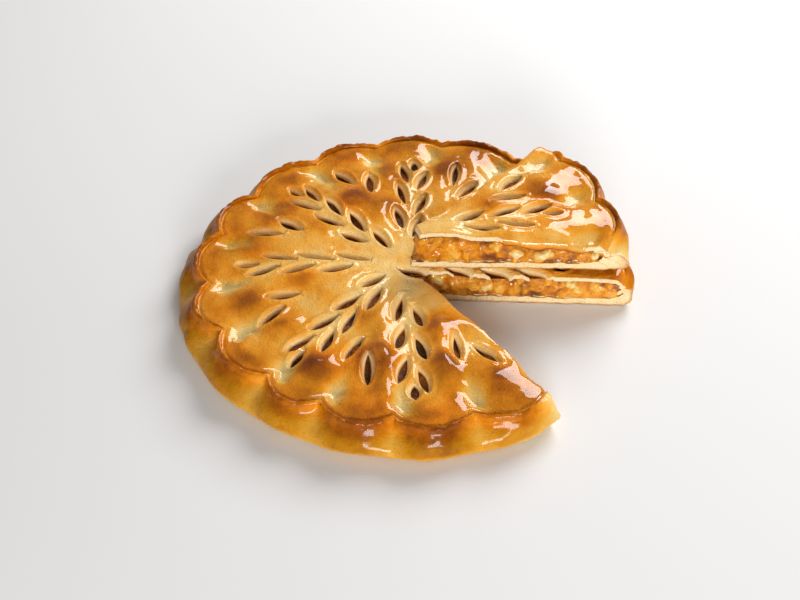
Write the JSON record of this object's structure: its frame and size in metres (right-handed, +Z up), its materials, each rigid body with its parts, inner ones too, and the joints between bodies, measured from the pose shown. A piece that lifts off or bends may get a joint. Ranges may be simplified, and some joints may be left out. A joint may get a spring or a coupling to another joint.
{
  "type": "apple pie",
  "caption": "Round covered apple pie with a crimped, glazed crust and leaf slits in the lid. One slice is cut out and rests on top of the pie.",
  "frame": {"origin": "under the middle of the pie's outline, on the surface it stands on", "axes": "+Z up; +X along the cut face that the slice rests above, out towards the rim; the gap left by the slice opens towards +X and -Y"},
  "size_m": [0.3229, 0.3159, 0.0612],
  "materials": {
    "crust": "baked dough, glazed outside and pale where it is cut",
    "glazed_crust": "glossy egg glaze over golden brown dough",
    "apple_filling": "moist diced apple in amber syrup"
  },
  "bodies": {
    "root": {"pie_base": "crust", "pie_filling": "apple_filling", "pie_lid": "glazed_crust", "slice_base": "crust", "slice_filling": "apple_filling", "slice_lid": "glazed_crust"}
  },
  "joints": []
}
